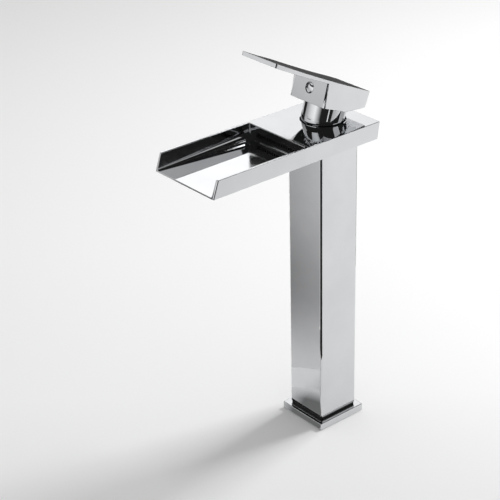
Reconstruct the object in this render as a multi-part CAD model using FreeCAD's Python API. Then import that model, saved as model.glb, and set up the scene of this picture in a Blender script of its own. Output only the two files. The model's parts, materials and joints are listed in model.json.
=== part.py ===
import FreeCAD, Part
import math
import os

# Waterfall basin faucet with one lever, modelled in millimetres.
# Origin: centre of the column at the underside of the base plate.
# +Z is up, the spout and its trough point to -Y, +X is to the right of them.
# The lever is modelled lifted, as it stands in use.

V = FreeCAD.Vector
os.makedirs("parts", exist_ok=True)

# ---------------------------------------------------------------- sizes

# Column and foot
COLUMN = 40.0            # outer side of the square column
COLUMN_WALL = 3.0
COLUMN_FOOT = 8.6        # height of the column's lower end
HEAD_BOTTOM = 261.9      # column's upper end and underside of the head
BASE = 49.5              # side of the square base plate
BASE_TOP = 6.5
GASKET_IN, GASKET_OUT, GASKET_DEEP = 20.5, 22.8, 2.0
SPACER = 19.75           # half side of the dark frame between plate and column
BORE_HALF = 16.9         # half side of the blocks that fill the column
FOOT_TOP = 35.0

# Head with trough and deck
HEAD_HALF = 35.65        # half width
HEAD_TOP = 276.3
MOUTH_LOW_Y, MOUTH_HIGH_Y = -141.5, -136.4
REAR_LOW_Y, REAR_HIGH_Y = 26.6, 29.0
TROUGH_REAR = -48.9      # rear wall of the trough, below the front edge of the deck
TROUGH_HALF = 33.2
TROUGH_FLOOR = 263.2
FILLET_MOUTH, FILLET_REAR = 1.4, 8.5
REAR_FILLET, REAR_CORNER = 1.5, 2.0
REAR_WALL = 2.0
DECK = 2.5
COVER = 2.5
COVER_HALF = 32.9
OPENING_R = 18.45        # round opening in the deck

# Lever: pivot line, swing and handle sections
PIVOT_Z = 277.8
LIFT = 17.0              # degrees that the lever is lifted from closed
SKIRT_R = 17.5
SKIRT_BORE = 15.3
SKIRT_DEEP = 27.0        # degrees of the ball zone below the pivot
HANDLE_HALF = 20.0
INDEX_Z = 300.9
STEM_HALF = 3.3
STEM_TOP = 304.0
BALL_ARM = 9.0           # pivot to ball centre
ARM_LEAN = 10.0          # degrees that the lower arm leans, closed
BALL_R = 2.0
PIN_R = 1.5
RUNNING = 0.05           # radial running fit

# Water ways
TUBE_X, TUBE_Y, TUBE_R, TUBE_BORE = 8.0, 6.0, 4.0, 3.0
TUBE_LOW, TUBE_HIGH = 25.5, 229.5
PORT_R = 4.5             # tap drill of an M10x1 hose port
STUD_R = 3.4             # tap drill of the M8 fixing stud
BLOCK_LOW = 221.0        # lower end of the valve block
CHAMBER_FLOOR = 236.0
CHAMBER_R = 12.6
NUT_R = 13.8
ROD = 13.2               # corner position of tie rods
WAY = 12.8               # corner position of the outlet way
WAY_R = 2.8

# Cartridge
CART_R = 12.5
NECK_R, NECK_BORE, NECK_TOP = 9.6, 8.0, 281.5
DISC_FACE = 244.0
CARRIER_R = NECK_BORE - RUNNING
CARRIER_TOP = 282.0


# ---------------------------------------------------------------- helpers

def save(name, shape):
    """Write one piece."""
    shape = shape.removeSplitter()
    solids = shape.Solids
    result = solids[0] if len(solids) == 1 else Part.makeCompound(solids)
    result.exportStep("parts/%s.step" % name)


def block(x0, x1, y0, y1, z0, z1):
    """Box between two corners."""
    return Part.makeBox(x1 - x0, y1 - y0, z1 - z0, V(x0, y0, z0))


def square(half, z0, z1):
    """Square prism about the column axis."""
    return block(-half, half, -half, half, z0, z1)


def rod(radius, z0, z1, x=0.0, y=0.0):
    """Vertical cylinder."""
    return Part.makeCylinder(radius, z1 - z0, V(x, y, z0))


def ring(outer, inner, z0, z1, x=0.0, y=0.0):
    """Vertical ring."""
    return rod(outer, z0, z1, x, y).cut(rod(inner, z0, z1, x, y))


def bar(radius, start, end):
    """Cylinder from one point to another."""
    run = end - start
    return Part.makeCylinder(radius, run.Length, start, run)


def prism_x(wire, half):
    """Solid from a profile in the YZ plane, symmetric about x = 0."""
    face = Part.Face(wire)
    face.translate(V(-half, 0, 0))
    return face.extrude(V(2 * half, 0, 0))


def yz(points):
    """Points in the YZ plane."""
    return [V(0, y, z) for y, z in points]


def bow(points):
    """Arc through three points in the YZ plane."""
    return Part.Arc(*yz(points)).toShape()


def chosen(shape, keep):
    """Edges whose middle point passes the test."""
    def middle(edge):
        return edge.valueAt((edge.FirstParameter + edge.LastParameter) / 2)
    return [edge for edge in shape.Edges if keep(middle(edge), edge)]


def rounded(shape, radius, keep):
    """Round the edges that pass the test."""
    return shape.makeFillet(radius, chosen(shape, keep))


def bevelled(shape, width, keep):
    """Bevel the edges that pass the test."""
    return shape.makeChamfer(width, chosen(shape, keep))


def upright(edge):
    """True for an edge that runs mainly up."""
    ends = [v.Point for v in edge.Vertexes]
    run = ends[-1] - ends[0]
    return abs(run.z) > 0.7 * run.Length


def funnel(start, end):
    """Solid with flat faces between two polygons with the same number of corners."""
    rings = [start, end] + [[start[k - 1], start[k], end[k], end[k - 1]] for k in range(len(start))]
    faces = [Part.Face(Part.makePolygon(ring + ring[:1])) for ring in rings]
    solid = Part.Solid(Part.Shell(faces))
    if solid.Volume < 0:
        solid.reverse()
    return solid


def square_tube(outer, corner, z0, z1):
    """Square prism with rounded upright edges."""
    return rounded(square(outer, z0, z1), corner, lambda m, e: upright(e))


def lifted(shape):
    """Turn a piece from the closed pose to the lifted pose about the pivot line."""
    shape.rotate(V(0, 0, PIVOT_Z), V(1, 0, 0), -LIFT)
    return shape


def socket_screw(radius, start, end, key):
    """Headless screw with a hexagon socket in its start face."""
    body = bar(radius, start, end)
    along = (end - start).normalize()
    side = along.cross(V(1, 0, 0)).normalize()
    corners = []
    for k in range(7):
        turn = FreeCAD.Rotation(along, 60.0 * k)
        corners.append(start + turn.multVec(side * key))
    return body.cut(Part.Face(Part.makePolygon(corners)).extrude(along * 2.5))


# ---------------------------------------------------------------- foot

def base_flange():
    half = BASE / 2
    plate = square_tube(half, 1.2, 0, BASE_TOP)
    plate = rounded(plate, 0.6, lambda m, e: m.z > BASE_TOP - 0.01)
    groove = square(GASKET_OUT, 0, GASKET_DEEP).cut(square(GASKET_IN, 0, GASKET_DEEP))
    plate = plate.cut(groove)
    plate = plate.cut(square(18.6, 0, 3.2))
    return plate.cut(square(17.0, 0, BASE_TOP))


def base_gasket():
    return square(GASKET_OUT, 0, GASKET_DEEP).cut(square(GASKET_IN, 0, GASKET_DEEP))


def spacer_frame():
    outer = square_tube(SPACER, 2.5, BASE_TOP, COLUMN_FOOT)
    outer = rounded(outer, 0.5, lambda m, e: m.z < BASE_TOP + 0.01)
    return outer.cut(square(17.0, BASE_TOP, COLUMN_FOOT))


def foot_block():
    body = square(18.5, 0, 3.2).fuse(square(BORE_HALF, 3.2, FOOT_TOP))
    for side in (-1, 1):
        x = side * TUBE_X
        body = body.cut(rod(PORT_R, 0, 16.0, x, TUBE_Y))
        body = body.cut(rod(TUBE_BORE, 16.0, FOOT_TOP, x, TUBE_Y))
        body = body.cut(rod(TUBE_R + RUNNING, TUBE_LOW - 0.2, FOOT_TOP, x, TUBE_Y))
        body = body.cut(rod(5.8, 29.0, 30.8, x, TUBE_Y))
        body = body.cut(rod(1.7, 20.0, FOOT_TOP, side * ROD, side * ROD))
    return body.cut(rod(STUD_R, 0, 18.0))


def column():
    outer = square_tube(COLUMN / 2, 0.8, COLUMN_FOOT, HEAD_BOTTOM)
    outer = outer.cut(square(COLUMN / 2 - COLUMN_WALL, COLUMN_FOOT, HEAD_BOTTOM))
    return outer.cut(square(18.4, HEAD_BOTTOM - 3.0, HEAD_BOTTOM))


def riser(side):
    return ring(TUBE_R, TUBE_BORE, TUBE_LOW, TUBE_HIGH, side * TUBE_X, TUBE_Y)


def tube_seals():
    rings = []
    for side in (-1, 1):
        for z in (29.9, 225.9):
            rings.append(ring(5.75, TUBE_R + 0.02, z - 0.85, z + 0.85, side * TUBE_X, TUBE_Y))
    return Part.makeCompound(rings)


def tie_rods():
    return Part.makeCompound([rod(1.7, 20.0, 267.6, s * ROD, s * ROD) for s in (-1, 1)])


def tie_rod_nuts():
    nuts = []
    for side in (-1, 1):
        corners = []
        for k in range(7):
            a = math.radians(15 + 60 * k)
            corners.append(V(side * ROD + 4.04 * math.cos(a), side * ROD + 4.04 * math.sin(a),
                             HEAD_BOTTOM + COVER))
        nut = Part.Face(Part.makePolygon(corners)).extrude(V(0, 0, 2.6))
        nuts.append(nut.cut(rod(1.7, 260, 270, side * ROD, side * ROD)))
    return Part.makeCompound(nuts)


# ---------------------------------------------------------------- valve block

def valve_block():
    body = square(BORE_HALF, BLOCK_LOW, HEAD_BOTTOM)
    body = body.fuse(square(18.3, HEAD_BOTTOM - 3.0, HEAD_BOTTOM))
    body = body.cut(rod(CHAMBER_R, CHAMBER_FLOOR, HEAD_BOTTOM))
    body = body.cut(rod(NUT_R, 256.0, HEAD_BOTTOM))
    for side in (-1, 1):
        x = side * TUBE_X
        body = body.cut(rod(TUBE_R + RUNNING, BLOCK_LOW, TUBE_HIGH + 0.2, x, TUBE_Y))
        body = body.cut(rod(TUBE_BORE, TUBE_HIGH, 233.0, x, TUBE_Y))
        body = body.cut(rod(5.8, 225.0, 226.8, x, TUBE_Y))
        body = body.cut(rod(2.2, 229.0, CHAMBER_FLOOR, side * 6.2, 3.8))
        body = body.cut(rod(1.9, BLOCK_LOW, HEAD_BOTTOM, side * ROD, side * ROD))
    body = body.cut(rod(WAY_R, 236.4, HEAD_BOTTOM, WAY, -WAY))
    return body.cut(bar(2.0, V(6.0, -6.0, 238.9), V(WAY, -WAY, 238.9)))


def bottom_cover():
    low, high = HEAD_BOTTOM, HEAD_BOTTOM + COVER
    plate = block(-COVER_HALF, COVER_HALF, -46.7, 23.9, low, high)
    plate = plate.cut(rod(14.0, low, high))
    plate = plate.cut(rod(WAY_R, low, high, WAY, -WAY))
    for side in (-1, 1):
        plate = plate.cut(rod(1.9, low, high, side * ROD, side * ROD))
    for x, y in cover_points():
        plate = plate.cut(rod(1.6, low, high, x, y))
        plate = plate.cut(Part.makeCone(3.1, 1.6, 1.5, V(x, y, low)))
    return plate


def cover_points():
    return [(side * 27.5, y) for side in (-1, 1) for y in (-34.0, 17.0)]


def cover_screws():
    screws = []
    for x, y in cover_points():
        low = HEAD_BOTTOM
        head = Part.makeCone(3.0, 1.5, 1.5, V(x, y, low))
        screw = head.fuse(rod(1.5, low + 1.5, low + 8.5, x, y))
        slot = block(x - 2.2, x + 2.2, y - 0.35, y + 0.35, low, low + 0.8)
        screws.append(screw.cut(slot))
    return Part.makeCompound(screws)


# ---------------------------------------------------------------- head

def long_corner(side):
    """Metal that rounds one long corner of the trough: a wedge less a cone that touches
    wall and floor, so the radius grows evenly to the rear."""
    wall = side * TROUGH_HALF
    growth = (FILLET_REAR - FILLET_MOUTH) / (TROUGH_REAR - MOUTH_LOW_Y)
    start = MOUTH_LOW_Y - FILLET_MOUTH / growth
    axis = V(-side * growth, 1.0, growth)
    half_angle = math.asin(growth / axis.Length)
    sections = []
    for y in (-155.0, -45.0):
        f = growth * (y - start)
        sections.append([V(wall - side * f, y, TROUGH_FLOOR), V(wall - side * f, y, TROUGH_FLOOR - 1),
                         V(wall + side, y, TROUGH_FLOOR - 1), V(wall + side, y, TROUGH_FLOOR + f),
                         V(wall, y, TROUGH_FLOOR + f)])
    length = 130.0
    cone = Part.makeCone(0, length * math.tan(half_angle), length, V(wall, start, TROUGH_FLOOR), axis)
    return funnel(*sections).cut(cone)


def trough_hollow():
    """Hollow with rounded rear corners and long corners whose radius grows to the rear."""
    hollow = block(-TROUGH_HALF, TROUGH_HALF, -152, TROUGH_REAR, TROUGH_FLOOR, 300)
    hollow = rounded(hollow, REAR_CORNER, lambda m, e: upright(e) and m.y > TROUGH_REAR - 0.1)
    hollow = rounded(hollow, REAR_FILLET, lambda m, e: m.z < TROUGH_FLOOR + 0.1 and m.y > TROUGH_REAR - 1)
    return hollow.cut(long_corner(-1)).cut(long_corner(1))


def spout_body():
    side_view = Part.makePolygon(yz([
        (MOUTH_LOW_Y, HEAD_BOTTOM), (REAR_LOW_Y, HEAD_BOTTOM), (REAR_HIGH_Y, HEAD_TOP),
        (MOUTH_HIGH_Y, HEAD_TOP), (MOUTH_LOW_Y, HEAD_BOTTOM)]))
    body = prism_x(side_view, HEAD_HALF)
    body = rounded(body, 1.2, lambda m, e: upright(e))
    body = bevelled(body, 0.3, lambda m, e: m.z > HEAD_TOP - 0.01)
    body = body.cut(trough_hollow())
    body = body.cut(block(-33.1, 33.1, TROUGH_REAR + REAR_WALL, 24.1, HEAD_BOTTOM, HEAD_TOP - DECK))
    for x, y in cover_points():
        body = body.fuse(rod(3.4, HEAD_BOTTOM + COVER, HEAD_TOP - DECK, x, y))
        body = body.cut(rod(1.5, HEAD_BOTTOM + COVER, HEAD_BOTTOM + 8.5, x, y))
    body = body.cut(rod(OPENING_R, HEAD_TOP - DECK - 1, HEAD_TOP + 1))
    body = body.cut(Part.makeCone(OPENING_R, OPENING_R + 0.6, 0.6, V(0, 0, HEAD_TOP - 0.3)))
    return body.cut(block(-25.0, 25.0, TROUGH_REAR - 0.5, TROUGH_REAR + REAR_WALL, 266.2, 270.8))


def rectangle(y, half, z0, z1, x=0.0):
    """Corners of an upright rectangle across the flow at one y."""
    return [V(x - half, y, z0), V(x + half, y, z0), V(x + half, y, z1), V(x - half, y, z1)]


def outlet_duct():
    """Flat duct that widens from the valve block's outlet to the trough."""
    floor, skin = HEAD_BOTTOM + COVER + 0.1, 1.2
    outer = funnel(rectangle(-14.0, 4.3, floor, 268.2, WAY),
                   rectangle(-46.0, 27.0, floor, 272.6))
    inner = funnel(rectangle(-13.9, 2.8, floor + skin, 267.0, WAY),
                   rectangle(-46.1, 25.6, floor + skin, 271.4))
    body = outer.fuse(rod(4.3, floor, 268.2, WAY, -WAY))
    body = body.cut(inner)
    body = body.cut(rod(WAY_R, floor, 267.0, WAY, -WAY))
    return body.cut(rod(3.6, floor, floor + 0.8, WAY, -WAY))


def duct_seals():
    frame = block(-27.0, 27.0, -46.9, -46.0, 264.5, 272.6)
    frame = frame.cut(block(-25.0, 25.0, -47.0, -45.9, 266.2, 270.8))
    washer = ring(3.6, WAY_R, HEAD_BOTTOM + COVER, HEAD_BOTTOM + COVER + 0.9, WAY, -WAY)
    return Part.makeCompound([frame, washer])


def outlet_grille():
    """Slotted insert in the rear wall of the trough."""
    plate = block(-24.9, 24.9, TROUGH_REAR + 0.1, TROUGH_REAR + REAR_WALL, 266.3, 270.7)
    slots = [block(x - 0.9, x + 0.9, -50, -46, 267.1, 269.9)
             for x in [2.8 * k for k in range(-8, 9)]]
    return plate.cut(Part.makeCompound(slots))


# ---------------------------------------------------------------- cartridge

def cartridge_base():
    body = rod(CART_R, CHAMBER_FLOOR, 242.5).cut(rod(10.3, 241.0, 242.5))
    for side in (-1, 1):
        body = body.cut(rod(2.0, CHAMBER_FLOOR, 241.0, side * 5.6, 3.4))
        body = body.cut(rod(3.4, CHAMBER_FLOOR, 237.4, side * 5.6, 3.4))
    body = body.cut(rod(2.4, 237.6, 241.0, 0, -4.6))
    return body.cut(bar(1.7, V(0, -4.6, 239.0), V(10.0, -10.0, 239.0)))


def port_seals():
    return Part.makeCompound([ring(3.4, 2.3, CHAMBER_FLOOR, 237.4, s * 5.6, 3.4) for s in (-1, 1)])


def cartridge_housing():
    body = rod(CART_R, 242.5, 256.2).fuse(rod(NECK_R, 256.2, NECK_TOP))
    body = body.cut(rod(11.0, 242.5, 252.6))
    body = body.cut(rod(NECK_BORE, 252.6, NECK_TOP))
    return body.cut(ring(CART_R, 11.6, 252.8, 254.6))


def housing_seal():
    return ring(CHAMBER_R, 11.6, 252.9, 254.5)


def retaining_nut():
    body = ring(NUT_R, NECK_R + 0.2, 256.2, 264.2)
    for k in range(6):
        slot = block(11.6, 15.0, -1.2, 1.2, 262.2, 264.2)
        slot.rotate(V(0, 0, 0), V(0, 0, 1), 60 * k + 30)
        body = body.cut(slot)
    return body


def fixed_disc():
    body = rod(10.2, 241.0, DISC_FACE)
    for side in (-1, 1):
        body = body.cut(rod(2.0, 241.0, DISC_FACE, side * 5.6, 3.4))
    return body.cut(rod(2.4, 241.0, DISC_FACE, 0, -4.6))


def ball_y():
    """How far the ball stands in front of the pivot line with the lever lifted."""
    return -BALL_ARM * math.sin(math.radians(LIFT - ARM_LEAN))


def moving_disc():
    low = DISC_FACE + RUNNING
    body = rod(7.6, low, 246.8, 0, ball_y())
    pocket = rod(5.2, low, low + 1.2, 0, ball_y() - 0.6)
    slots = block(-2.5, 2.5, ball_y() - 8, ball_y() - 6.4, 245.6, 246.8)
    return body.cut(pocket).cut(slots)


def disc_carrier():
    y = ball_y()
    body = rod(8.4, 246.8, 249.0, 0, y)
    body = body.fuse(block(-2.4, 2.4, y - 7.9, y - 6.5, 245.7, 246.8).common(rod(7.6, 245, 247, 0, y)))
    post = rounded(block(-3.3, 3.3, y - 3.3, y + 3.3, 249.0, 271.5), 0.8, lambda m, e: upright(e))
    return body.fuse(post).cut(rod(2.35, 266.3, 271.5, 0, y))


def stem_carrier():
    """Rotor in the neck with the slot that the lever stem tilts in."""
    body = rod(CARRIER_R, 249.4, CARRIER_TOP).fuse(rod(10.6, 249.4, 252.5))
    slot = rounded(block(-3.65, 3.65, -5.5, 5.5, 249.4, CARRIER_TOP), 0.6,
                   lambda m, e: upright(e))
    body = body.cut(slot)
    return body.cut(bar(PIN_R, V(-12, 0, PIVOT_Z), V(12, 0, PIVOT_Z)))


def pivot_pin():
    return bar(PIN_R, V(-7.5, 0, PIVOT_Z), V(7.5, 0, PIVOT_Z))


# ---------------------------------------------------------------- lever

def lever_stem():
    """Square spindle, hub on the pin and leaning arm with the driving ball."""
    lean = math.radians(ARM_LEAN)
    pivot = V(0, 0, PIVOT_Z)
    ball = pivot + V(0, BALL_ARM * math.sin(lean), -BALL_ARM * math.cos(lean))
    spindle = rounded(square(STEM_HALF, PIVOT_Z, STEM_TOP), 0.5, lambda m, e: upright(e))
    hub = bar(3.5, V(-STEM_HALF, 0, PIVOT_Z), V(STEM_HALF, 0, PIVOT_Z))
    body = spindle.fuse(hub).fuse(bar(1.5, pivot, ball)).fuse(Part.makeSphere(BALL_R, ball))
    body = body.cut(bar(PIN_R + RUNNING, V(-6, 0, PIVOT_Z), V(6, 0, PIVOT_Z)))
    return lifted(body)


def skirt_profile(radius, depth, top):
    """Half profile of a cylinder that ends below in a ball zone about the pivot."""
    a = math.radians(depth)
    half = a / 2
    low = V(radius * math.cos(a), 0, PIVOT_Z - radius * math.sin(a))
    middle = V(radius * math.cos(half), 0, PIVOT_Z - radius * math.sin(half))
    equator = V(radius, 0, PIVOT_Z)
    edges = [
        Part.makeLine(V(0, 0, PIVOT_Z), low),
        Part.Arc(low, middle, equator).toShape(),
        Part.makeLine(equator, V(radius, 0, top)),
        Part.makeLine(V(radius, 0, top), V(0, 0, top)),
        Part.makeLine(V(0, 0, top), V(0, 0, PIVOT_Z)),
    ]
    return Part.Face(Part.Wire(edges))


def turned(face):
    """Solid of revolution about the column axis."""
    return face.revolve(V(0, 0, 0), V(0, 0, 1), 360)


def handle_outline():
    """Side view of paddle and block with the lever closed."""
    top = bow([(25.5, 305.0), (-22.6, 311.8), (-81.2, 322.4)])
    under = bow([(-81.6, 319.0), (-60.6, 315.2), (-21.9, 309.3)])
    corners = yz([(-21.9, 309.3), (-21.9, 289.4), (3.5, 287.2), (24.2, 291.6), (25.5, 305.0)])
    tip = Part.makeLine(*yz([(-81.2, 322.4), (-81.6, 319.0)]))
    rest = [Part.makeLine(a, b) for a, b in zip(corners, corners[1:])]
    return Part.Wire([top, tip, under] + rest)


def handle():
    """Block with a thin paddle, hollow below, and the round skirt that fills the deck opening."""
    body = prism_x(handle_outline(), HANDLE_HALF)
    body = bevelled(body, 0.4, lambda m, e: abs(m.x) > HANDLE_HALF - 0.01)
    body = body.fuse(turned(skirt_profile(SKIRT_R, SKIRT_DEEP, 292.0)))
    body = body.cut(turned(skirt_profile(SKIRT_BORE, SKIRT_DEEP + 8.0, 302.0)))
    boss = rod(7.2, 286.6, 303.0)
    boss = boss.fuse(bar(4.4, V(0, -16.5, INDEX_Z), V(0, 0, INDEX_Z)))
    body = body.fuse(boss)
    body = body.cut(square(STEM_HALF + 0.05, 280.0, STEM_TOP + 0.3))
    body = body.cut(bar(2.5, V(0, -30, INDEX_Z), V(0, -3.0, INDEX_Z)))
    body = body.cut(bar(4.6, V(0, -30, INDEX_Z), V(0, -20.0, INDEX_Z)))
    return lifted(body)


def set_screw():
    return lifted(socket_screw(2.5, V(0, -12.0, INDEX_Z), V(0, -STEM_HALF, INDEX_Z), 1.4))


def index_plug():
    """Domed button over the set screw, with a shank pressed in the screw hole."""
    cap = bar(4.1, V(0, -21.4, INDEX_Z), V(0, -20.2, INDEX_Z))
    dome = Part.makeSphere(11.0, V(0, -11.4, INDEX_Z)).common(
        bar(4.1, V(0, -24, INDEX_Z), V(0, -21.4, INDEX_Z)))
    shank = bar(2.45, V(0, -20.2, INDEX_Z), V(0, -15.0, INDEX_Z))
    return lifted(cap.fuse(dome).fuse(shank))


# ---------------------------------------------------------------- pieces

PIECES = [base_flange, base_gasket, spacer_frame, foot_block, column, tube_seals, tie_rods,
          tie_rod_nuts, valve_block, bottom_cover, cover_screws, spout_body, outlet_duct,
          duct_seals, outlet_grille, cartridge_base, port_seals, cartridge_housing,
          housing_seal, retaining_nut, fixed_disc, moving_disc, disc_carrier, stem_carrier,
          pivot_pin, lever_stem, handle, set_screw, index_plug]

for piece in PIECES:
    save(piece.__name__, piece())
save("hot_tube", riser(-1))
save("cold_tube", riser(1))
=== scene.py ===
# %% [markdown]
# # A waterfall basin faucet in polished chrome
# The real object is a brass faucet, ground, polished and chrome plated. Its whole look is
# made of sharp, clean reflections, so two things matter here: flat faces that are truly
# flat, with small rounded edges between them, and a studio with white and dark areas for
# the chrome to mirror. The hidden valve parts come from the construction model. Sizes of
# the pieces are written in millimetres, and the helpers turn them into metres.

# %% Load the construction model
import bpy
import bmesh
import json
import math
from mathutils import Matrix, Vector


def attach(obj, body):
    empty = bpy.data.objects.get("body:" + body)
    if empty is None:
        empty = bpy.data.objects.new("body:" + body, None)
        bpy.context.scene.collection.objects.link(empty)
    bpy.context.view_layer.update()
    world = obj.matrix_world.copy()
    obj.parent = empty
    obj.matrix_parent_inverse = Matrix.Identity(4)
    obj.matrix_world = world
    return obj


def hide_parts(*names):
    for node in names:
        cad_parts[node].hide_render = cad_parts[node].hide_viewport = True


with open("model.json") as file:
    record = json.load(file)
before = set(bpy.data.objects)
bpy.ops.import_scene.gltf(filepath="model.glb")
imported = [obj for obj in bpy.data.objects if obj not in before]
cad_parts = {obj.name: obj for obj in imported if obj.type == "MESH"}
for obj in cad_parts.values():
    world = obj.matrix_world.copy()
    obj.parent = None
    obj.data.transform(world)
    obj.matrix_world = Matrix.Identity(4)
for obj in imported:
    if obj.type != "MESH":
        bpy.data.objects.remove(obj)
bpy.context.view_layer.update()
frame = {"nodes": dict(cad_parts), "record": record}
nodes = frame["nodes"]

# %% [markdown]
# ## Camera
# The photograph was taken from the front right and from above with a long lens. Its place
# was worked out from the straight edges of the column and the head. A camera matrix has
# the picture's right, the picture's up and the way back to the camera as its columns.

# %% Camera
AZIMUTH, ELEVATION, ROLL = math.radians(50.619), math.radians(27.501), math.radians(-1.442)
CAMERA_PLACE = (0.818709, -0.750664, 0.736765)
LENS, SENSOR = 107.903, 36


def direction(turn, lift):
    """Unit vector, turned from the front towards the right and lifted from the level."""
    flat = math.cos(lift)
    return Vector((math.sin(turn) * flat, -math.cos(turn) * flat, math.sin(lift)))


back = direction(AZIMUTH, ELEVATION)
level = Vector((math.cos(AZIMUTH), math.sin(AZIMUTH), 0))
upward = back.cross(level)
right = level * math.cos(ROLL) + upward * math.sin(ROLL)
up = upward * math.cos(ROLL) - level * math.sin(ROLL)
camera_data = bpy.data.cameras.new("photo_camera")
camera_data.sensor_width = SENSOR
camera_data.lens = LENS
camera_data.clip_start = 0.05
camera = bpy.data.objects.new("photo_camera", camera_data)
bpy.context.scene.collection.objects.link(camera)
place = Matrix((right, up, back)).transposed().to_4x4()
place.translation = CAMERA_PLACE
camera.matrix_world = place
bpy.context.scene.camera = camera
bpy.context.scene.view_settings.view_transform = "Standard"
print("camera at", tuple(round(v, 3) for v in place.translation), "lens", camera_data.lens)

# %% [markdown]
# ## Mesh helpers
# Every rigid piece here is cut from simple solids, as it would be on a milling machine: a
# blank with rounded edges, minus the hollows. The Boolean modifier does the cutting. Then
# the faces are shaded smooth, edges over 30 degrees stay sharp, and the Weighted Normal
# modifier keeps the large faces flat in the reflection.

# %% Pieces
MM = 0.001


def piece(name, bm):
    """Object in the scene from mesh code, with its place in its mesh."""
    bmesh.ops.remove_doubles(bm, verts=bm.verts, dist=1e-7)
    bmesh.ops.recalc_face_normals(bm, faces=bm.faces)
    mesh = bpy.data.meshes.new(name)
    bm.to_mesh(mesh)
    bm.free()
    obj = bpy.data.objects.new(name, mesh)
    bpy.context.scene.collection.objects.link(obj)
    return obj


def settle(obj):
    """Turn the modifiers' result into the piece's own mesh."""
    bpy.context.view_layer.update()
    evaluated = obj.evaluated_get(bpy.context.evaluated_depsgraph_get())
    result = bpy.data.meshes.new_from_object(evaluated)
    obj.modifiers.clear()
    obj.data = result


print("one millimetre is", MM, "metres")

# %% Cutting and polishing
FLAT_ANGLE = math.radians(30)


def cut(obj, tools, operation="DIFFERENCE"):
    """Cut the tools from the piece, or keep what they share, and remove the tools."""
    for tool in tools:
        modifier = obj.modifiers.new("cut", "BOOLEAN")
        modifier.operation = operation
        modifier.solver = "EXACT"
        modifier.object = tool
    settle(obj)
    for tool in tools:
        bpy.data.objects.remove(tool)


def polish(obj):
    """Smooth shading with flat faces kept flat."""
    obj.data.shade_smooth()
    obj.data.set_sharp_from_angle(angle=FLAT_ANGLE)
    weighted = obj.modifiers.new("flat faces", "WEIGHTED_NORMAL")
    weighted.keep_sharp = True
    weighted.weight = 100
    settle(obj)


print("edges stay sharp over", round(math.degrees(FLAT_ANGLE)), "degrees")


# %% Blanks
def prism(name, outline, half):
    """Solid from an outline in the YZ plane, in metres, drawn out along X to both sides."""
    bm = bmesh.new()
    face = bm.faces.new([bm.verts.new((-half, y, z)) for y, z in outline])
    grown = bmesh.ops.extrude_face_region(bm, geom=[face])
    far_side = [v for v in grown["geom"] if isinstance(v, bmesh.types.BMVert)]
    bmesh.ops.translate(bm, verts=far_side, vec=(2 * half, 0, 0))
    return piece(name, bm)


def block(name, low, high):
    """Box between two corners, in millimetres."""
    x0, y0, z0 = low
    x1, y1, z1 = high
    outline = [(y * MM, z * MM) for y, z in ((y0, z0), (y1, z0), (y1, z1), (y0, z1))]
    obj = prism(name, outline, (x1 - x0) / 2 * MM)
    obj.data.transform(Matrix.Translation(((x0 + x1) / 2 * MM, 0, 0)))
    return obj


def square(name, half, low, high):
    """Square block about the column axis between two heights, in millimetres."""
    return block(name, (-half, -half, low), (half, half, high))


# %% Turned forms
TURNED_STEPS = 128


def turned(name, profile, steps=TURNED_STEPS):
    """Solid of revolution about the column axis from (radius, height) in millimetres."""
    bm = bmesh.new()
    rings = []
    for k in range(steps):
        a = 2 * math.pi * k / steps
        ring = [(r * MM * math.cos(a), r * MM * math.sin(a), z * MM) for r, z in profile]
        rings.append([bm.verts.new(p) for p in ring])
    for k in range(steps):
        here, there = rings[k], rings[(k + 1) % steps]
        for i in range(len(profile) - 1):
            bm.faces.new((here[i], there[i], there[i + 1], here[i + 1]))
    bmesh.ops.remove_doubles(bm, verts=bm.verts, dist=1e-7)
    return piece(name, bm)


print("steps round a turned form", TURNED_STEPS)

# %% Rounded edges
SHARP_ANGLE = math.radians(12)


def bevel(obj, radius, steps, chosen):
    """Round the edges that pass the test, radius in millimetres."""
    bm = bmesh.new()
    bm.from_mesh(obj.data)
    edges = [e for e in bm.edges if chosen(e)]
    bmesh.ops.bevel(bm, geom=edges, offset=radius * MM, segments=steps, profile=0.5,
                    affect="EDGES", clamp_overlap=True)
    bm.to_mesh(obj.data)
    bm.free()
    return len(edges)


def round_edges(obj, radius, steps, keep):
    """Round the edges whose middle, in millimetres, and direction pass the test."""
    def chosen(e):
        first, last = e.verts[0].co, e.verts[1].co
        return keep((first + last) / 2 / MM, (last - first).normalized())
    return bevel(obj, radius, steps, chosen)


def round_sharp(obj, radius, steps):
    """Round every outward edge that is sharp."""
    def chosen(e):
        return len(e.link_faces) == 2 and e.calc_face_angle_signed() > SHARP_ANGLE
    return bevel(obj, radius, steps, chosen)


def upright(middle, way):
    """Edge that runs up and down."""
    return abs(way.z) > 0.9


print("edges are rounded over", round(math.degrees(SHARP_ANGLE)), "degrees")

# %% [markdown]
# ## Column and base plate
# The column is a square brass tube. A rounded edge mirrors a wide part of the room in a
# narrow line, and here that line is black between two grey faces, so its width sets the
# radius of the upright edges. The base plate is a thin square with softer edges. Both are
# hollow, because blocks, hoses and a stud fill them.

# %% Column
COLUMN_HALF, COLUMN_FOOT, COLUMN_TOP = 20, 8.6, 261.9
COLUMN_EDGE, COLUMN_END_EDGE = 1.8, 0.25
BORE_HALF, REBATE_HALF, REBATE_FOOT = 17, 18.4, 258.9
PAST_FOOT, PAST_TOP = 5, 265

column = square("column_tube", COLUMN_HALF, COLUMN_FOOT, COLUMN_TOP)
round_edges(column, COLUMN_EDGE, 10, upright)
round_edges(column, COLUMN_END_EDGE, 2,
            lambda m, d: m.z < COLUMN_FOOT + 0.1 or m.z > COLUMN_TOP - 0.05)
cut(column, [square("bore", BORE_HALF, PAST_FOOT, PAST_TOP),
             square("rebate", REBATE_HALF, REBATE_FOOT, PAST_TOP)])
polish(column)
print("column faces", len(column.data.polygons))

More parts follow.
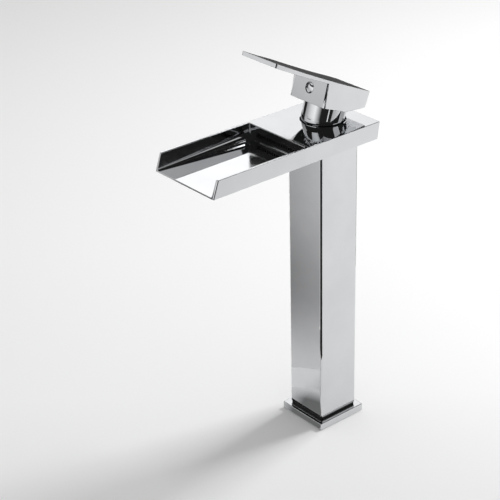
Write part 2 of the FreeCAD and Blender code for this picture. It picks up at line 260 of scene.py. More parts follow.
# %% Base plate
PLATE_HALF, PLATE_TOP = 24.75, 6.5
PLATE_CORNER, PLATE_EDGE = 1.2, 0.6
GROOVE_HALF, ISLAND_HALF, GROOVE_TOP = 22.8, 20.5, 2
RECESS_HALF, RECESS_TOP, HOLE_HALF = 18.6, 3.2, 17

base = square("base_plate", PLATE_HALF, 0, PLATE_TOP)
round_edges(base, PLATE_CORNER, 6, upright)
round_edges(base, PLATE_EDGE, 5, lambda m, d: m.z > PLATE_TOP - 0.1)
groove = square("groove", GROOVE_HALF, -1, GROOVE_TOP)
cut(groove, [square("island", ISLAND_HALF, -2, GROOVE_TOP + 1)])
cut(base, [groove, square("recess", RECESS_HALF, -1, RECESS_TOP),
           square("hole", HOLE_HALF, RECESS_TOP - 1.2, PLATE_TOP + 1.5)])
polish(base)
print("base plate faces", len(base.data.polygons))

# %% [markdown]
# ## The head with its trough
# The head is one casting: an open trough in front and a flat deck behind. The hollow of
# the trough is the interesting form. Near the mouth its walls stand square on the floor,
# and towards the rear the long corners grow into large fillets. That is a loft: the same
# cross-section, drawn at several places with a growing radius, and joined up. A second
# tool, a tub with small rounded corners, ends the loft at the rear wall. The outer blank
# is a plain wedge with rounded edges.

# %% Sections of the trough's hollow
HEAD_HALF, HEAD_FOOT, HEAD_TOP = 35.65, COLUMN_TOP, 276.3
FRONT_FOOT, FRONT_TOP, REAR_FOOT, REAR_TOP = -141.5, -136.4, 26.6, 29.0
TROUGH_HALF, FLOOR, REAR_WALL, LIP = 33.2, 263.2, -48.9, 0.6
MOUTH_FILLET, REAR_FILLET = 1.4, 8.5
DRAFT = math.tan(math.radians(1.5))
ABOVE_HEAD = 285.0


def wall_profile(fillet, floor, steps=14):
    """Distance inside the wall and height, from the floor up over the rounded lip."""
    profile = []
    for k in range(steps + 1):
        a = math.radians(90 * k / steps)
        profile.append((fillet * (1 - math.sin(a)), floor + fillet * (1 - math.cos(a))))
    for k in range(6):
        a = math.radians(18 * k)
        profile.append((-LIP * (1 - math.cos(a)), HEAD_TOP - LIP + LIP * math.sin(a)))
    return profile + [(-LIP, ABOVE_HEAD)]


print("wall profile points", len(wall_profile(5, FLOOR)))


# %% Loft with growing fillets
def skin(name, loops):
    """Closed solid through loops with the same number of points, in millimetres."""
    bm = bmesh.new()
    rings = [[bm.verts.new(Vector(p) * MM) for p in loop] for loop in loops]
    count = len(rings[0])
    for a, b in zip(rings, rings[1:]):
        for i in range(count):
            j = (i + 1) % count
            bm.faces.new((a[i], a[j], b[j], b[i]))
    bm.faces.new(rings[0])
    bm.faces.new(list(reversed(rings[-1])))
    return piece(name, bm)


def long_hollow(first=-150, step=10, sections=12):
    """Loft from beyond the mouth to behind the rear wall, with a draft on its walls."""
    middle = (FLOOR + HEAD_TOP) / 2
    loops = []
    for k in range(sections):
        y = first + step * k
        share = (y - FRONT_FOOT) / (REAR_WALL - FRONT_FOOT)
        fillet = MOUTH_FILLET + (REAR_FILLET - MOUTH_FILLET) * share
        half = [(TROUGH_HALF - inset + DRAFT * (min(z, HEAD_TOP) - middle), z)
                for inset, z in wall_profile(fillet, FLOOR)]
        whole = [(-x, z) for x, z in reversed(half)] + half
        loops.append([(x, y, z) for x, z in whole])
    return skin("long_hollow", loops)


hollow = long_hollow()
print("loft faces", len(hollow.data.polygons))


# %% Tub at the rear wall
def rear_tub(corner=2.1, fillet=1.5, steps=8):
    """Tub whose rounded rear end limits the loft."""
    half = TROUGH_HALF + 0.3
    plan = [(half, -160, 1, 0)]
    for k in range(steps + 1):
        a = math.radians(90 * k / steps)
        nx, ny = math.cos(a), math.sin(a)
        plan.append((half - corner + corner * nx, REAR_WALL - corner + corner * ny, nx, ny))
    plan += [(-x, y, -nx, ny) for x, y, nx, ny in reversed(plan)]
    loops = []
    for inset, z in wall_profile(fillet, FLOOR - 0.1, 6):
        loops.append([(x - nx * inset, y - ny * inset, z) for x, y, nx, ny in plan])
    return skin("rear_tub", loops)


cut(hollow, [rear_tub()], "INTERSECT")
print("hollow faces", len(hollow.data.polygons))

# %% Head casting
OPENING_RADIUS, OPENING_FOOT, OPENING_ABOVE = 18.45, 270, 278
opening_profile = [(0, OPENING_FOOT), (OPENING_RADIUS, OPENING_FOOT),
                   (OPENING_RADIUS, HEAD_TOP - 0.3), (OPENING_RADIUS + 0.35, HEAD_TOP + 0.05),
                   (OPENING_RADIUS + 0.95, OPENING_ABOVE), (0, OPENING_ABOVE)]
head_side = [(FRONT_FOOT, HEAD_FOOT), (REAR_FOOT, HEAD_FOOT),
             (REAR_TOP, HEAD_TOP), (FRONT_TOP, HEAD_TOP)]
head = prism("head_casting", [(y * MM, z * MM) for y, z in head_side], HEAD_HALF * MM)
round_edges(head, 1.2, 6, upright)
round_edges(head, 0.4, 4, lambda m, d: m.z > HEAD_TOP - 0.1)
round_edges(head, 0.3, 3, lambda m, d: m.z < HEAD_FOOT + 0.1)
cut(head, [hollow, turned("opening", opening_profile, 160),
           block("cavity", (-33.1, -46.9, 255), (33.1, 24.1, 273.8)),
           block("window", (-25, -60, 266.2), (25, -40, 270.8))])


def at_mouth(m, d):
    """Edge of the hollow in the sloping front face."""
    slope = (FRONT_TOP - FRONT_FOOT) / (HEAD_TOP - HEAD_FOOT)
    front = FRONT_FOOT + slope * (m.z - HEAD_FOOT)
    return abs(m.y - front) < 0.1 and abs(m.x) < 33.5 and m.z > FLOOR - 0.6


print("mouth edges", round_edges(head, 0.4, 4, at_mouth))
polish(head)
print("head faces", len(head.data.polygons))

# %% [markdown]
# ## The lever
# Seen from the side, the lever is one outline: a thin paddle that curves gently into a
# square block. It is drawn with the lever closed, when the skirt stands upright, and then
# turned about the pivot by the 17 degrees that it is lifted in the photograph. The skirt is
# a turned form: a cylinder that ends in a ball zone about the pivot, so that it fills the
# opening in the deck at every tilt.

# %% Lever outline
PIVOT_Z = 277.8
PIVOT = Vector((0, 0, PIVOT_Z)) * MM
TILT = Matrix.Rotation(math.radians(-17), 4, "X")
LIFT = Matrix.Translation(PIVOT) @ TILT @ Matrix.Translation(-PIVOT)
LEVER_HALF, BLOCK_FRONT, BLOCK_REAR, TIP = 20, -21.9, 25.5, -81.2


def arc(first, middle, last, steps):
    """Points in metres on the arc through three points given in millimetres."""
    (ax, ay), (bx, by), (cx, cy) = first, middle, last
    d = 2 * (ax * (by - cy) + bx * (cy - ay) + cx * (ay - by))
    a2, b2, c2 = ax * ax + ay * ay, bx * bx + by * by, cx * cx + cy * cy
    ux = (a2 * (by - cy) + b2 * (cy - ay) + c2 * (ay - by)) / d
    uy = (a2 * (cx - bx) + b2 * (ax - cx) + c2 * (bx - ax)) / d
    start, end = math.atan2(ay - uy, ax - ux), math.atan2(cy - uy, cx - ux)
    turn = (end - start + math.pi) % (2 * math.pi) - math.pi
    radius = math.hypot(ax - ux, ay - uy)
    angles = [start + turn * k / steps for k in range(steps + 1)]
    return [((ux + radius * math.cos(t)) * MM, (uy + radius * math.sin(t)) * MM)
            for t in angles]


top_line = arc((BLOCK_REAR, 305.0), (-22.6, 311.8), (TIP, 322.4), 24)
under_line = arc((TIP - 0.4, 319.0), (-60.6, 315.2), (BLOCK_FRONT, 309.3), 12)
block_corners = [(BLOCK_FRONT, 289.4), (3.5, 287.2), (24.2, 291.6)]
lever_outline = top_line + under_line + [(y * MM, z * MM) for y, z in block_corners]
print("lever outline points", len(lever_outline))


# %% Lever block and paddle
def crown(obj, height, painted_falloff=18, steps=12):
    """Raise the middle of the top by a little, fading out at the tip and at the rear."""
    bm = bmesh.new()
    bm.from_mesh(obj.data)
    across = [e for e in bm.edges
              if abs((e.verts[1].co - e.verts[0].co).normalized().x) > 0.9]
    bmesh.ops.subdivide_edges(bm, edges=across, cuts=steps - 1, use_grid_fill=True)
    tops = {(round(y, 6), round(z, 6)) for y, z in top_line}
    for v in bm.verts:
        if (round(v.co.y, 6), round(v.co.z, 6)) in tops:
            x, y = v.co.x / MM, v.co.y / MM
            share = max(0, min(1, (y - TIP) / painted_falloff, (BLOCK_REAR - y) / painted_falloff))
            v.co.z += height * MM * share * (1 - (x / LEVER_HALF) ** 2)
    bm.to_mesh(obj.data)
    bm.free()


def block_front_edge(m, d):
    """Upright edge on either side of the block's front face."""
    return abs(m.x) > LEVER_HALF - 0.1 and abs(m.y - BLOCK_FRONT) < 0.1 and upright(m, d)


def tip_edge(m, d):
    """Upright edge on either side of the paddle's tip."""
    return abs(m.x) > LEVER_HALF - 0.1 and m.y < TIP + 0.1 and upright(m, d)


lever = prism("lever_block", lever_outline, LEVER_HALF * MM)
crown(lever, 1.5)
round_edges(lever, 2.0, 10, block_front_edge)
round_edges(lever, 1.2, 10, tip_edge)
print("rounded edges", round_sharp(lever, 0.5, 5))

# %% Skirt
SKIRT_RADIUS, SKIRT_INSIDE, SKIRT_TOP = 17.5, 15.3, 289.5
BALL_ANGLE = 27


def zone(radius, angles):
    """Points on the ball zone below the pivot, at angles under the level in degrees."""
    return [(radius * math.cos(math.radians(a)), PIVOT_Z - radius * math.sin(math.radians(a)))
            for a in angles]


outside = zone(SKIRT_RADIUS, range(BALL_ANGLE, -1, -1))
inside = zone(SKIRT_INSIDE, range(BALL_ANGLE + 1))
skirt_ring = outside + [(SKIRT_RADIUS, SKIRT_TOP), (SKIRT_INSIDE, SKIRT_TOP)] + inside
skirt = turned("lever_skirt", skirt_ring + outside[:1], 160)
skirt.data.transform(LIFT)
polish(skirt)
print("skirt faces", len(skirt.data.polygons))

# %% Hollow of the lever
HOLLOW_FOOT, HOLLOW_TOP = 280, 302
hollow_profile = [(0, HOLLOW_FOOT), (SKIRT_INSIDE, HOLLOW_FOOT),
                  (SKIRT_INSIDE, HOLLOW_TOP), (0, HOLLOW_TOP)]
cut(lever, [turned("hollow", hollow_profile)])
lever.data.transform(LIFT)
polish(lever)
print("lever faces", len(lever.data.polygons))

# %% [markdown]
# ## Index button
# The round button in the block covers the set screw. It is a small dome in a shallow
# counterbore, and the narrow gap round it reads as a dark ring. Both are turned forms, laid
# on their side.

# %% Index button
INDEX_Z, BUTTON_RADIUS, BUTTON_RIM, DOME = 300.9, 4.1, 21.5, 0.9
STEM_RADIUS, STEM_END = 2.45, 15.0
ON_SIDE = Matrix.Translation((0, 0, INDEX_Z * MM)) @ Matrix.Rotation(math.radians(90), 4, "X")


def on_front(name, profile):
    """Turned form that points out of the block's front at the height of the index."""
    obj = turned(name, profile, 64)
    obj.data.transform(ON_SIDE)
    obj.data.transform(LIFT)
    return obj


shares = [k / 10 for k in range(11)]
dome = [(s * BUTTON_RADIUS, BUTTON_RIM + DOME * (1 - s ** 2)) for s in shares]
stem = [(BUTTON_RADIUS, 20.3), (STEM_RADIUS, 20.2), (STEM_RADIUS, STEM_END), (0, STEM_END)]
index = on_front("index_button", dome + stem)
polish(index)
print("index button width in mm", 2 * BUTTON_RADIUS)

# %% Counterbore and screw hole
BORE_RADIUS, BORE_FLOOR, SCREW_RADIUS, BEYOND_FRONT = 4.6, 20.0, 2.5, 26
bore_profile = [(0, BORE_FLOOR), (BORE_RADIUS, BORE_FLOOR), (BORE_RADIUS, 21.7),
                (BORE_RADIUS + 0.2, 22.1), (BORE_RADIUS + 0.2, BEYOND_FRONT),
                (0, BEYOND_FRONT)]
screw_profile = [(0, 3.0), (SCREW_RADIUS, 3.0), (SCREW_RADIUS, BEYOND_FRONT),
                 (0, BEYOND_FRONT)]
cut(lever, [on_front("counterbore", bore_profile), on_front("screw_way", screw_profile)])
polish(lever)
print("gap round the button in mm", round(BORE_RADIUS - BUTTON_RADIUS, 2))

# %% [markdown]
# ## Chrome and the other finishes
# Polished chrome is a metal with almost no roughness of its own. What makes it real is
# small: water marks and wiping that change the roughness a little, a faint unevenness of
# the polished brass below, and hairline scratches. Each is a noise on object coordinates,
# so it stays on the piece when the lever moves.

# %% Materials and noise
def material(name):
    """New material: its node tree, its shader and its object coordinates."""
    mat = bpy.data.materials.new(name)
    mat.use_nodes = True
    tree = mat.node_tree
    shader = tree.nodes["Principled BSDF"]
    coordinates = tree.nodes.new("ShaderNodeTexCoord").outputs["Object"]
    return mat, tree, shader, coordinates


def noise(tree, coordinates, scale, detail=2.0, stretch=(1, 1, 1)):
    """Noise value on stretched object coordinates."""
    mapping = tree.nodes.new("ShaderNodeMapping")
    mapping.inputs["Scale"].default_value = stretch
    tree.links.new(coordinates, mapping.inputs["Vector"])
    texture = tree.nodes.new("ShaderNodeTexNoise")
    texture.inputs["Scale"].default_value = scale
    texture.inputs["Detail"].default_value = detail
    tree.links.new(mapping.outputs["Vector"], texture.inputs["Vector"])
    return texture.outputs["Fac"]


print("materials of the construction model", len(bpy.data.materials))


# %% Ranges, tones and relief
def spread(tree, value, low, high, start=0.3, end=0.7):
    """Map a value between start and end to a range."""
    ramp = tree.nodes.new("ShaderNodeMapRange")
    ramp.inputs["From Min"].default_value = start
    ramp.inputs["From Max"].default_value = end
    ramp.inputs["To Min"].default_value = low
    ramp.inputs["To Max"].default_value = high
    tree.links.new(value, ramp.inputs["Value"])
    return ramp.outputs["Result"]


def tint(tree, value, first, second):
    """Colour between two tones by a value."""
    mix = tree.nodes.new("ShaderNodeMix")
    mix.data_type = "RGBA"
    mix.inputs["A"].default_value = (*first, 1)
    mix.inputs["B"].default_value = (*second, 1)
    tree.links.new(value, mix.inputs["Factor"])
    return mix.outputs["Result"]


def relief(tree, shader, value, depth, strength, below=None):
    """Bump from a value, depth in millimetres."""
    bump = tree.nodes.new("ShaderNodeBump")
    bump.inputs["Strength"].default_value = strength
    bump.inputs["Distance"].default_value = depth * MM
    tree.links.new(value, bump.inputs["Height"])
    if below is not None:
        tree.links.new(below, bump.inputs["Normal"])
    tree.links.new(bump.outputs["Normal"], shader.inputs["Normal"])
    return bump.outputs["Normal"]


print("default noise range", spread.__defaults__)

# %% Chrome
CHROME_TONES = (0.655, 0.665, 0.68), (0.70, 0.705, 0.715)
chrome, tree, shader, coordinates = material("polished_chrome")
shader.inputs["Metallic"].default_value = 1.0
cloudy = tint(tree, spread(tree, noise(tree, coordinates, 35), 0, 1), *CHROME_TONES)
tree.links.new(cloudy, shader.inputs["Base Color"])
wiped = spread(tree, noise(tree, coordinates, 60, 4), 0.015, 0.06)
tree.links.new(wiped, shader.inputs["Roughness"])
waves = relief(tree, shader, noise(tree, coordinates, 14, 1), 0.12, 0.25)
scratches = noise(tree, coordinates, 900, 2, (1, 1, 0.05))
relief(tree, shader, scratches, 0.01, 0.12, waves)
print("chrome nodes", len(tree.nodes))


# %% Finish helper
def finish(name, metallic, tones, rough, scale, depth, stretch=(1, 1, 1)):
    """A finish with varied tone and roughness and a fine relief."""
    mat, tree, shader, coordinates = material(name)
    shader.inputs["Metallic"].default_value = metallic
    grain = noise(tree, coordinates, scale, 3, stretch)
    tree.links.new(tint(tree, spread(tree, grain, 0, 1), *tones), shader.inputs["Base Color"])
    worn = spread(tree, noise(tree, coordinates, scale / 3, 3, stretch), *rough)
    tree.links.new(worn, shader.inputs["Roughness"])
    relief(tree, shader, grain, depth, 0.4)
    return mat


def neutral(dark, light):
    """Two grey tones."""
    return (dark,) * 3, (light,) * 3


print("materials so far", len(bpy.data.materials))

# %% Metals, rubber, plastics and ceramic
BRASS_TONES = (0.62, 0.46, 0.20), (0.74, 0.58, 0.30)
COPPER_TONES = (0.62, 0.30, 0.18), (0.75, 0.42, 0.28)
STEEL_TONES = (0.50, 0.51, 0.52), (0.64, 0.65, 0.66)
BLACK_TONES = (0.010, 0.010, 0.011), (0.020, 0.020, 0.022)
ACETAL_TONES = (0.70, 0.70, 0.67), (0.80, 0.80, 0.78)
CERAMIC_TONES = (0.78, 0.77, 0.73), (0.86, 0.85, 0.82)
FINISHES = {
    "chrome": chrome,
    "brass": finish("machined_brass", 1, BRASS_TONES, (0.22, 0.38), 240, 0.04, (1, 1, 6)),
    "copper": finish("drawn_copper", 1, COPPER_TONES, (0.25, 0.42), 160, 0.03, (1, 1, 0.1)),
    "steel": finish("turned_steel", 1, STEEL_TONES, (0.18, 0.34), 300, 0.03, (1, 1, 8)),
    "rubber": finish("black_rubber", 0, neutral(0.012, 0.028), (0.55, 0.75), 700, 0.05),
    "black_plastic": finish("black_plastic", 0, BLACK_TONES, (0.38, 0.55), 900, 0.03),
    "white_plastic": finish("white_acetal", 0, ACETAL_TONES, (0.35, 0.5), 500, 0.02),
    "ceramic": finish("lapped_ceramic", 0, CERAMIC_TONES, (0.12, 0.2), 800, 0.01),
}
slot_of = {part["node"]: part["material_slot"] for part in frame["record"]["subparts"]}
for name, solid in nodes.items():
    solid.data.materials.clear()
    solid.data.materials.append(FINISHES[slot_of[name]])
print("finishes", sorted(FINISHES))

# %% [markdown]
# ## Outlet grille and cover screws
# Two things repeat: the slots of the grille in the rear wall of the trough, and the screws
# that hold the bottom cover. Each is a node tree with its sizes as named inputs. The slots
# are milled from the insert; the screws are one countersunk screw set on a grid of points.
# Node trees take their sizes in metres.

# %% Node helpers
def give(tree, socket, value):
    """Link a socket to another one, or set it to a value."""
    if isinstance(value, bpy.types.NodeSocket):
        tree.links.new(value, socket)
    else:
        socket.default_value = value


def node(tree, kind, **inputs):
    """Node with its inputs given by name, with underscores for spaces."""
    made = tree.nodes.new("GeometryNode" + kind)
    for label, value in inputs.items():
        give(tree, made.inputs[label.replace("_", " ")], value)
    return made


def vector(tree, *values):
    """Vector from three values or sockets."""
    made = tree.nodes.new("ShaderNodeCombineXYZ")
    for socket, value in zip(made.inputs, values):
        give(tree, socket, value)
    return made.outputs[0]


def moved(tree, geometry, place):
    """Geometry moved to a place."""
    return node(tree, "Transform", Geometry=geometry, Translation=place).outputs["Geometry"]


def less(tree, body, tool):
    """Body with a tool cut from it."""
    made = node(tree, "MeshBoolean", Mesh_1=body, Mesh_2=tool)
    made.operation = "DIFFERENCE"
    made.solver = "EXACT"
    return made.outputs["Mesh"]


def welded(tree, first, second):
    """Two solids made one."""
    made = node(tree, "MeshBoolean", Mesh_2=first)
    made.operation = "UNION"
    made.solver = "EXACT"
    tree.links.new(second, made.inputs["Mesh 2"])
    return made.outputs["Mesh"]


print("node groups before the trees", len(bpy.data.node_groups))


# %% Object from a node tree
def node_piece(name, finish_name, sizes, build):
    """Object that a node tree makes from named inputs. A whole number stays one."""
    tree = bpy.data.node_groups.new(name, "GeometryNodeTree")
    socket = tree.interface.new_socket
    socket("Geometry", in_out="OUTPUT", socket_type="NodeSocketGeometry")
    keys = {}
    for label, size in sizes.items():
        kind = "NodeSocketInt" if isinstance(size, int) else "NodeSocketFloat"
        keys[label] = socket(label, in_out="INPUT", socket_type=kind).identifier
    given = tree.nodes.new("NodeGroupInput")
    shape = build(tree, given.outputs)
    whole = node(tree, "RealizeInstances", Geometry=shape).outputs["Geometry"]
    coated = node(tree, "SetMaterial", Geometry=whole, Material=FINISHES[finish_name])
    output = tree.nodes.new("NodeGroupOutput")
    tree.links.new(coated.outputs["Geometry"], output.inputs["Geometry"])
    obj = bpy.data.objects.new(name, bpy.data.meshes.new(name))
    bpy.context.scene.collection.objects.link(obj)
    modifier = obj.modifiers.new("nodes", "NODES")
    modifier.node_group = tree
    for label, size in sizes.items():
        modifier[keys[label]] = size
    settle(obj)
    return obj


print("finishes for node pieces", len(FINISHES))

# %% Outlet grille
GRILLE_Y, GRILLE_Z = -0.0479, 0.2685
SLOTS, SLOT_PITCH, SLOT_DEPTH, SLOT_Y = 17, 0.0028, 0.004, -0.048


def grille_tree(tree, given):
    """Insert less a row of slots."""
    size = vector(tree, given["Width"], given["Depth"], given["Height"])
    insert = node(tree, "MeshCube", Size=size).outputs["Mesh"]
    plate = moved(tree, insert, (0, GRILLE_Y, GRILLE_Z))
    size = vector(tree, given["Slot width"], SLOT_DEPTH, given["Slot height"])
    slot = node(tree, "MeshCube", Size=size).outputs["Mesh"]
    first = (-(SLOTS - 1) / 2 * SLOT_PITCH, SLOT_Y, GRILLE_Z)
    row = node(tree, "MeshLine", Count=given["Slots"], Start_Location=first,
               Offset=vector(tree, given["Pitch"], 0, 0)).outputs["Mesh"]
    slots = node(tree, "InstanceOnPoints", Points=row, Instance=slot).outputs["Instances"]
    tools = node(tree, "RealizeInstances", Geometry=slots).outputs["Geometry"]
    return less(tree, plate, tools)


grille = node_piece("grille_insert", slot_of["outlet_grille"], {
    "Width": 0.0498, "Depth": 0.0018, "Height": 0.0044, "Slots": SLOTS, "Pitch": SLOT_PITCH,
    "Slot width": 0.0018, "Slot height": 0.0028}, grille_tree)
polish(grille)
print("grille faces", len(grille.data.polygons))

# %% Cover screws
HEAD_HEIGHT, SHANK_MIDDLE = 0.0015, 0.00475
DRIVE_LENGTH, DRIVE_DEPTH = 0.0070, 0.0016
SCREW_CENTRE = (0, -0.0085, 0.2619)


def screw_tree(tree, given):
    """Countersunk slotted screw on each corner of a rectangle."""
    head_cone = node(tree, "MeshCone", Vertices=given["Sides"], Depth=HEAD_HEIGHT,
                     Radius_Bottom=given["Head radius"], Radius_Top=given["Shank radius"])
    shank = node(tree, "MeshCylinder", Vertices=given["Sides"], Depth=given["Length"],
                 Radius=given["Shank radius"])
    raised = moved(tree, shank.outputs["Mesh"], (0, 0, SHANK_MIDDLE))
    screw = welded(tree, head_cone.outputs["Mesh"], raised)
    drive = node(tree, "MeshCube", Size=vector(tree, DRIVE_LENGTH, given["Slot"], DRIVE_DEPTH))
    slotted = less(tree, screw, drive.outputs["Mesh"])
    grid = node(tree, "MeshGrid", Size_X=given["Span across"], Size_Y=given["Span along"],
                Vertices_X=2, Vertices_Y=2)
    corners = moved(tree, grid.outputs["Mesh"], SCREW_CENTRE)
    placed = node(tree, "InstanceOnPoints", Points=corners, Instance=slotted)
    return placed.outputs["Instances"]


screws = node_piece("cover_screw_set", slot_of["cover_screws"], {
    "Sides": 48, "Head radius": 0.003, "Shank radius": 0.0015, "Length": 0.0075,
    "Slot": 0.0007, "Span across": 0.055, "Span along": 0.051}, screw_tree)
polish(screws)
print("screw faces", len(screws.data.polygons))

# %% [markdown]
# ## Studio
# Chrome shows the room, so the room is built as a product studio would be: white cards
# where a face should be bright and dark flags where it should be black. Cards and flags
# glow by themselves and are seen by reflections only, so they are painted reflections, and
# they give no light to the floor. Most stand on a round wall 1.6 m away. Some lie near the
# faucet, just over the floor, where the column and the base plate mirror them, and these
# carry painted shadow and a painted highlight. One soft lamp stands high behind the faucet
# and throws the column's shadow to the front, and the pale room fills the rest. The floor
# is pale paper with painted light: its colour changes a little from front to rear, the way
# a paper sweep looks under a lamp from behind.

# %% Floor
FLOOR_RADIUS = 6.0
FADE_START, FADE_END = -1.6, 0.3
PAPER_REAR, PAPER_FRONT = 0.82, 0.79
PAPER_BETWEEN = (0.35, 0.88), (0.68, 0.93), (0.83, 0.93)

bm = bmesh.new()
bmesh.ops.create_circle(bm, cap_ends=True, radius=FLOOR_RADIUS, segments=96)
floor = piece("studio_floor", bm)
paper, tree, shader, coordinates = material("pale_paper")
along = tree.nodes.new("ShaderNodeVectorMath")
along.operation = "DOT_PRODUCT"
along.inputs[1].default_value = direction(AZIMUTH, 0)
tree.links.new(coordinates, along.inputs[0])
# Painted light: the paper's colour is darker far at the rear, lightest around the faucet and
# darker again at the front, standing in for how light falls across a paper sweep.
painted_falloff = tree.nodes.new("ShaderNodeValToRGB")
tones = painted_falloff.color_ramp.elements
tones[0].color = (PAPER_REAR, PAPER_REAR, PAPER_REAR, 1)
tones[1].color = (PAPER_FRONT, PAPER_FRONT, PAPER_FRONT, 1)
for position, grey in PAPER_BETWEEN:
    tones.new(position).color = (grey, grey, grey, 1)
share = spread(tree, along.outputs["Value"], 0, 1, FADE_START, FADE_END)
tree.links.new(share, painted_falloff.inputs["Fac"])
tree.links.new(painted_falloff.outputs["Color"], shader.inputs["Base Color"])
shader.inputs["Roughness"].default_value = 0.7
shader.inputs["Specular IOR Level"].default_value = 0
floor.data.materials.append(paper)
print("floor radius", FLOOR_RADIUS)

# %% Card glow
glow_material, tree, shader, coordinates = material("card_glow")
# Painted reflection: the cards have no colour of their own and glow with the level in their
# shade attribute.
shader.inputs["Base Color"].default_value = (0, 0, 0, 1)
shader.inputs["Specular IOR Level"].default_value = 0
shader.inputs["Emission Color"].default_value = (1, 1, 1, 1)
shade = tree.nodes.new("ShaderNodeAttribute")
shade.attribute_name = "shade"
tree.links.new(shade.outputs["Fac"], shader.inputs["Emission Strength"])
print("cards take their light from the attribute", shade.attribute_name)

# %% Card helpers
CARD_STEPS = 24
panels = []


def between(shades, share):
    """Shade at a share of the way along a row of shades."""
    place = share * (len(shades) - 1)
    low = min(int(place), len(shades) - 2)
    return shades[low] + (shades[low + 1] - shades[low]) * (place - low)


def card(name, start, end, rows):
    """Curved panel seen in reflections only. Angles run from the front towards the right
    in degrees. Each row is a radius, a height and the shades along the row."""
    shares = [k / CARD_STEPS for k in range(CARD_STEPS + 1)]
    turns = [math.radians(start + (end - start) * share) for share in shares]
    bm = bmesh.new()
    grid = [[bm.verts.new((r * math.sin(a), -r * math.cos(a), z)) for a in turns]
            for r, z, shades in rows]
    for near, far in zip(grid, grid[1:]):
        for k in range(CARD_STEPS):
            bm.faces.new((near[k], near[k + 1], far[k + 1], far[k]))
    mesh = bpy.data.meshes.new(name)
    bm.to_mesh(mesh)
    bm.free()
    levels = mesh.attributes.new("shade", "FLOAT", "POINT")
    values = [between(shades, share) for r, z, shades in rows for share in shares]
    levels.data.foreach_set("value", values)
    panel = bpy.data.objects.new(name, mesh)
    bpy.context.scene.collection.objects.link(panel)
    mesh.materials.append(glow_material)
    for ray in ("camera", "diffuse", "shadow", "transmission", "volume_scatter"):
        setattr(panel, "visible_" + ray, False)
    panels.append(panel)


def even_card(name, start, end, level, *rows):
    """Card of one shade. Each row is a radius and a height."""
    card(name, start, end, [(r, z, (level, level)) for r, z in rows])


print("steps along a card", CARD_STEPS)

# %% Cards and flags on the studio wall
WALL, CEILING = 1.6, 1.60
DARK = 0.02
# The front left card is brightest near the front and dark at its right end.
LOW_SHADES = (0.4, 0.75, 1.1, 0.1)
HIGH_SHADES = (0.7, 1.0, 1.2, 0.1)
card("card_back_left", -182, -112, [(WALL, 0.71, (1.1, 1.1)), (WALL, 0.96, (1.15, 1.15)),
                                    (WALL, 1.50, (1.2, 1.2))])
even_card("card_trough", -127.3, -117, 1.42, (1.585, 0.972), (1.585, 1.11))
even_card("flag_trough_rear", -137, -127.3, DARK, (1.59, 0.981), (1.59, 1.014))
even_card("flag_lip", -43.5, -37, 0.12, (1.59, 0.228), (1.59, 0.275))
card("flag_left", -112, -62, [(WALL, 0.0, (DARK, DARK)), (WALL, 0.75, (DARK, DARK)),
                              (WALL, 1.05, (0.4, 0.4)), (WALL, CEILING, (0.45, 0.45))])
card("card_front_left", -62, 30, [(WALL, 0.0, LOW_SHADES), (WALL, 0.32, LOW_SHADES),
                                  (WALL, 0.5, HIGH_SHADES), (WALL, 0.76, HIGH_SHADES)])
even_card("flag_front_left", -62, 12, DARK, (WALL, 0.86), (WALL, CEILING))
even_card("flag_camera_side", 30, 104, DARK, (WALL, 0.0), (WALL, CEILING))
even_card("flag_front", 12, 30, DARK, (WALL, 0.76), (WALL, CEILING))
even_card("flag_right_low", 104, 178, DARK, (WALL, 0.40), (WALL, 0.955))
even_card("card_right", 104, 178, 0.62, (WALL, 0.975), (WALL, 1.35))
even_card("flag_right", 104, 178, DARK, (WALL, 1.35), (WALL, CEILING))
print("panels on the wall", len(panels))

# %% Strip light, floor flags and ceiling
OVER_FLOOR = 0.004
even_card("strip_light", 66, 71, 0.9, (1.55, 0.1), (1.55, 0.5))
even_card("flag_floor_end", -24, 86, DARK, (0.13, OVER_FLOOR), (0.70, OVER_FLOOR))
even_card("flag_floor_back", 166, 215, DARK, (0.28, OVER_FLOOR), (WALL, OVER_FLOOR))
even_card("flag_low_back_left", -152, -116, 0.085, (0.8, 0.0), (0.8, 0.40))
even_card("flag_ceiling", -180, 180, DARK, (0.0, CEILING), (1.7, CEILING))
# Painted reflection of the back lamp: a bright glowing card high at the rear.
even_card("lamp_reflection_card", 165, 195, 4.0, (0.80, 1.55), (0.98, 1.55))
print("panels so far", len(panels))

# %% Painted shadow sheet
# Painted shadow seen in reflection: a sheet that glows only in reflections lies beside the
# column on the left, where the left face mirrors it. A soft dark band of painted shadow
# crosses it, and its outer side is darker the farther it is from the faucet, which is
# painted shade too.
SHEET_NEAR, SHEET_FAR, SHEET_ROWS = 0.09, 0.60, 16
SHEET_TONE, SHADOW_DEPTH, SHADOW_PLACE, SHADOW_WIDTH = 0.72, 0.36, 0.24, 0.55
SIDE_CHANGE, SIDE_START, SIDE_FULL, SIDE_SHARE = 0.4, 0.15, 0.28, 0.6


def sheet_shades(radius, stops=6):
    """Shades along the sheet at a radius, from its outer side to its inner one."""
    away = math.log(radius / SHADOW_PLACE) / SHADOW_WIDTH
    tone = SHEET_TONE - SHADOW_DEPTH * math.exp(-away ** 2)
    change = SIDE_CHANGE * max(0, min(1, (radius - SIDE_START) / (SIDE_FULL - SIDE_START)))
    sides = [min(1, 2 * k / (stops - 1) / SIDE_SHARE - 1) for k in range(stops)]
    return tuple(tone * (1 + change * side) for side in sides)


ratio = (SHEET_FAR / SHEET_NEAR) ** (1 / (SHEET_ROWS - 1))
sheet_radii = [SHEET_NEAR * ratio ** k for k in range(SHEET_ROWS)]
card("painted_shadow_sheet", -51, -27, [(r, 0.003, sheet_shades(r)) for r in sheet_radii])
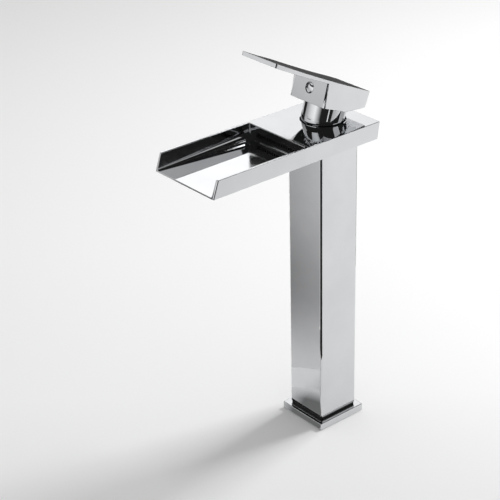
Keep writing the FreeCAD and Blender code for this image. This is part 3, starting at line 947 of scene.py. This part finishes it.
# Painted highlight: a strip that glows just over the floor, seen only in reflections.
even_card("painted_highlight_strip", -38, -24, 1.3, (0.16, 0.0045), (0.62, 0.0045))
print("rows of the sheet", len(sheet_radii))

# %% Shade at the base
# A dark ring close to the base, which fades outwards and towards its left end. The base
# plate and the foot of the column mirror it as the line where the faucet meets the floor.
RING_INSIDE, RING_DARK, RING_OUTSIDE = 24 * MM, 43 * MM, 60 * MM
LIGHT, SHADED, RING_STOPS = 0.75, 0.18, 5
ring = (LIGHT,) + (SHADED,) * (RING_STOPS - 1)
card("contact_shade", -52, 41, [(RING_INSIDE, 0.001, ring), (RING_DARK, 0.001, ring),
                                (RING_OUTSIDE, 0.001, (LIGHT,) * RING_STOPS)])
print("cards and flags", len(panels))

# %% Lamp
LAMP_TURN, LAMP_LIFT, LAMP_FAR = math.radians(177.5), math.radians(50), 1.9
lamp_data = bpy.data.lights.new("back_softbox", "AREA")
lamp_data.shape = "RECTANGLE"
lamp_data.size = 0.55
lamp_data.size_y = 0.45
lamp_data.energy = 21.5
lamp = bpy.data.objects.new("back_softbox", lamp_data)
aim = direction(LAMP_TURN, LAMP_LIFT)
lamp.location = aim * LAMP_FAR
lamp.rotation_euler = aim.to_track_quat("Z", "Y").to_euler()
# The lamp is hidden from reflections; the bright glowing card high at the rear stands in as its
# painted reflection.
lamp.visible_glossy = False
bpy.context.scene.collection.objects.link(lamp)
print("lamp energy", lamp_data.energy)

# %% World
ROOM_LIGHT, ROOM_SEEN = 0.53, 1.0
world = bpy.data.worlds.new("white_room")
bpy.context.scene.world = world
world.use_nodes = True
tree = world.node_tree


def larger(a, b):
    """Larger of two values."""
    compare = tree.nodes.new("ShaderNodeMath")
    compare.operation = "MAXIMUM"
    tree.links.new(a, compare.inputs[0])
    tree.links.new(b, compare.inputs[1])
    return compare.outputs[0]


path = tree.nodes.new("ShaderNodeLightPath").outputs
seen = larger(larger(path["Is Camera Ray"], path["Is Glossy Ray"]), path["Is Transmission Ray"])
background = tree.nodes["Background"]
background.inputs["Color"].default_value = (1, 1, 1, 1)
strength = spread(tree, seen, ROOM_LIGHT, ROOM_SEEN, 0, 1)
tree.links.new(strength, background.inputs["Strength"])
print("room lights with", ROOM_LIGHT, "and is seen with", ROOM_SEEN)

# %% [markdown]
# ## Join the pieces to the construction model
# Each new piece moves with the body of the node that it stands for, and takes that
# node's finish.

# %% Join
STANDS_FOR = [(column, "root", "column"), (base, "root", "base_flange"),
              (head, "root", "spout_body"), (grille, "root", "outlet_grille"),
              (screws, "root", "cover_screws"), (lever, "lever", "handle"),
              (skirt, "lever", "handle"), (index, "lever", "index_plug")]
for obj, body, stands_for in STANDS_FOR:
    obj.data.materials.clear()
    obj.data.materials.append(FINISHES[slot_of[stands_for]])
    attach(obj, body)
    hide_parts(stands_for)
print("pieces joined", len(STANDS_FOR))
